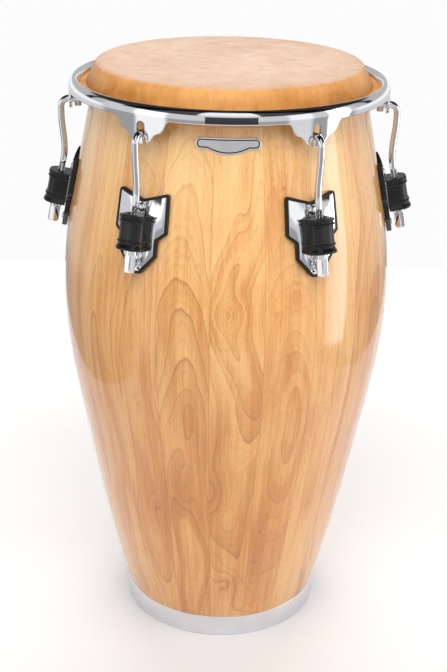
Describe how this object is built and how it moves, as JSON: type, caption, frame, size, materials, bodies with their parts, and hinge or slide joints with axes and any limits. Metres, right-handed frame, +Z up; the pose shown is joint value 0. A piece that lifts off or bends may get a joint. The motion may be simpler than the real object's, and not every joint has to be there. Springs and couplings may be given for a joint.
{
  "type": "tumba drum",
  "caption": "Tall barrel-shaped hand drum in pale lacquered wood with a hide head, chromed rim, tension hooks and turning nuts.",
  "frame": {"origin": "centre of the bottom ring's underside, on the floor", "axes": "+Z up the drum's axis to the head; -Y is the front with the badge, midway between two lugs; +X runs through a lug"},
  "size_m": [0.4432, 0.3942, 0.711],
  "materials": {
    "lacquered_wood": "gloss",
    "hide": "satin",
    "chrome": "polished",
    "satin_band": "satin",
    "plain_steel": "satin",
    "badge_metal": "satin",
    "black_rubber": "matte"
  },
  "bodies": {
    "root": {"shell": "lacquered_wood", "bottom_ring": "satin_band", "drumhead": "hide", "badge": "badge_metal", "lug_gasket_1": "black_rubber", "lug_gasket_2": "black_rubber", "lug_gasket_3": "black_rubber", "lug_gasket_4": "black_rubber", "lug_gasket_5": "black_rubber", "lug_gasket_6": "black_rubber", "lug_plate_1": "chrome", "lug_plate_2": "chrome", "lug_plate_3": "chrome", "lug_plate_4": "chrome", "lug_plate_5": "chrome", "lug_plate_6": "chrome", "lug_sleeve_1": "black_rubber", "lug_sleeve_2": "black_rubber", "lug_sleeve_3": "black_rubber", "lug_sleeve_4": "black_rubber", "lug_sleeve_5": "black_rubber", "lug_sleeve_6": "black_rubber", "upper_bolt_1": "chrome", "upper_bolt_2": "chrome", "upper_bolt_3": "chrome", "upper_bolt_4": "chrome", "upper_bolt_5": "chrome", "upper_bolt_6": "chrome", "lower_bolt_1": "chrome", "lower_bolt_2": "chrome", "lower_bolt_3": "chrome", "lower_bolt_4": "chrome", "lower_bolt_5": "chrome", "lower_bolt_6": "chrome", "backing_strap_1": "plain_steel", "backing_strap_2": "plain_steel", "backing_strap_3": "plain_steel", "backing_strap_4": "plain_steel", "backing_strap_5": "plain_steel", "backing_strap_6": "plain_steel"},
    "rim_body": {"rim": "chrome", "skin_tuck": "hide", "flesh_hoop": "plain_steel"},
    "hook_body_1": {"hook_1": "chrome"},
    "nut_body_1": {"tuning_nut_1": "chrome"},
    "hook_body_2": {"hook_2": "chrome"},
    "nut_body_2": {"tuning_nut_2": "chrome"},
    "hook_body_3": {"hook_3": "chrome"},
    "nut_body_3": {"tuning_nut_3": "chrome"},
    "hook_body_4": {"hook_4": "chrome"},
    "nut_body_4": {"tuning_nut_4": "chrome"},
    "hook_body_5": {"hook_5": "chrome"},
    "nut_body_5": {"tuning_nut_5": "chrome"},
    "hook_body_6": {"hook_6": "chrome"},
    "nut_body_6": {"tuning_nut_6": "chrome"}
  },
  "joints": [
    {"name": "rim_slide", "type": "slide", "parent": "root", "child": "rim_body", "axis": [0, 0, -1], "range_m": [-0.004, 0.006]},
    {"name": "hook_slide_1", "type": "slide", "parent": "root", "child": "hook_body_1", "axis": [0.1895, 0, -0.9819], "range_m": [-0.00408, 0.00612]},
    {"name": "nut_turn_1", "type": "hinge", "parent": "root", "child": "nut_body_1", "pos_m": [0.20271, 0, 0.55828], "axis": [-0.1895, 0, 0.9819], "range_deg": [-1174, 1760.5]},
    {"name": "hook_slide_2", "type": "slide", "parent": "root", "child": "hook_body_2", "axis": [0.0947, 0.1641, -0.9819], "range_m": [-0.00408, 0.00612]},
    {"name": "nut_turn_2", "type": "hinge", "parent": "root", "child": "nut_body_2", "pos_m": [0.10136, 0.17555, 0.55828], "axis": [-0.0947, -0.1641, 0.9819], "range_deg": [-1174, 1760.5]},
    {"name": "hook_slide_3", "type": "slide", "parent": "root", "child": "hook_body_3", "axis": [-0.0947, 0.1641, -0.9819], "range_m": [-0.00408, 0.00612]},
    {"name": "nut_turn_3", "type": "hinge", "parent": "root", "child": "nut_body_3", "pos_m": [-0.10136, 0.17555, 0.55828], "axis": [0.0947, -0.1641, 0.9819], "range_deg": [-1174, 1760.5]},
    {"name": "hook_slide_4", "type": "slide", "parent": "root", "child": "hook_body_4", "axis": [-0.1895, 0, -0.9819], "range_m": [-0.00408, 0.00612]},
    {"name": "nut_turn_4", "type": "hinge", "parent": "root", "child": "nut_body_4", "pos_m": [-0.20271, 0, 0.55828], "axis": [0.1895, 0, 0.9819], "range_deg": [-1174, 1760.5]},
    {"name": "hook_slide_5", "type": "slide", "parent": "root", "child": "hook_body_5", "axis": [-0.0947, -0.1641, -0.9819], "range_m": [-0.00408, 0.00612]},
    {"name": "nut_turn_5", "type": "hinge", "parent": "root", "child": "nut_body_5", "pos_m": [-0.10136, -0.17555, 0.55828], "axis": [0.0947, 0.1641, 0.9819], "range_deg": [-1174, 1760.5]},
    {"name": "hook_slide_6", "type": "slide", "parent": "root", "child": "hook_body_6", "axis": [0.0947, -0.1641, -0.9819], "range_m": [-0.00408, 0.00612]},
    {"name": "nut_turn_6", "type": "hinge", "parent": "root", "child": "nut_body_6", "pos_m": [0.10136, -0.17555, 0.55828], "axis": [-0.0947, 0.1641, 0.9819], "range_deg": [-1174, 1760.5]}
  ],
  "couplings": [
    {"joint": "hook_slide_1", "follows": "rim_slide", "ratio": 1.0184},
    {"joint": "nut_turn_1", "follows": "rim_slide", "rad_per_m": 5119.3},
    {"joint": "hook_slide_2", "follows": "rim_slide", "ratio": 1.0184},
    {"joint": "nut_turn_2", "follows": "rim_slide", "rad_per_m": 5119.3},
    {"joint": "hook_slide_3", "follows": "rim_slide", "ratio": 1.0184},
    {"joint": "nut_turn_3", "follows": "rim_slide", "rad_per_m": 5119.3},
    {"joint": "hook_slide_4", "follows": "rim_slide", "ratio": 1.0184},
    {"joint": "nut_turn_4", "follows": "rim_slide", "rad_per_m": 5119.3},
    {"joint": "hook_slide_5", "follows": "rim_slide", "ratio": 1.0184},
    {"joint": "nut_turn_5", "follows": "rim_slide", "rad_per_m": 5119.3},
    {"joint": "hook_slide_6", "follows": "rim_slide", "ratio": 1.0184},
    {"joint": "nut_turn_6", "follows": "rim_slide", "rad_per_m": 5119.3}
  ]
}
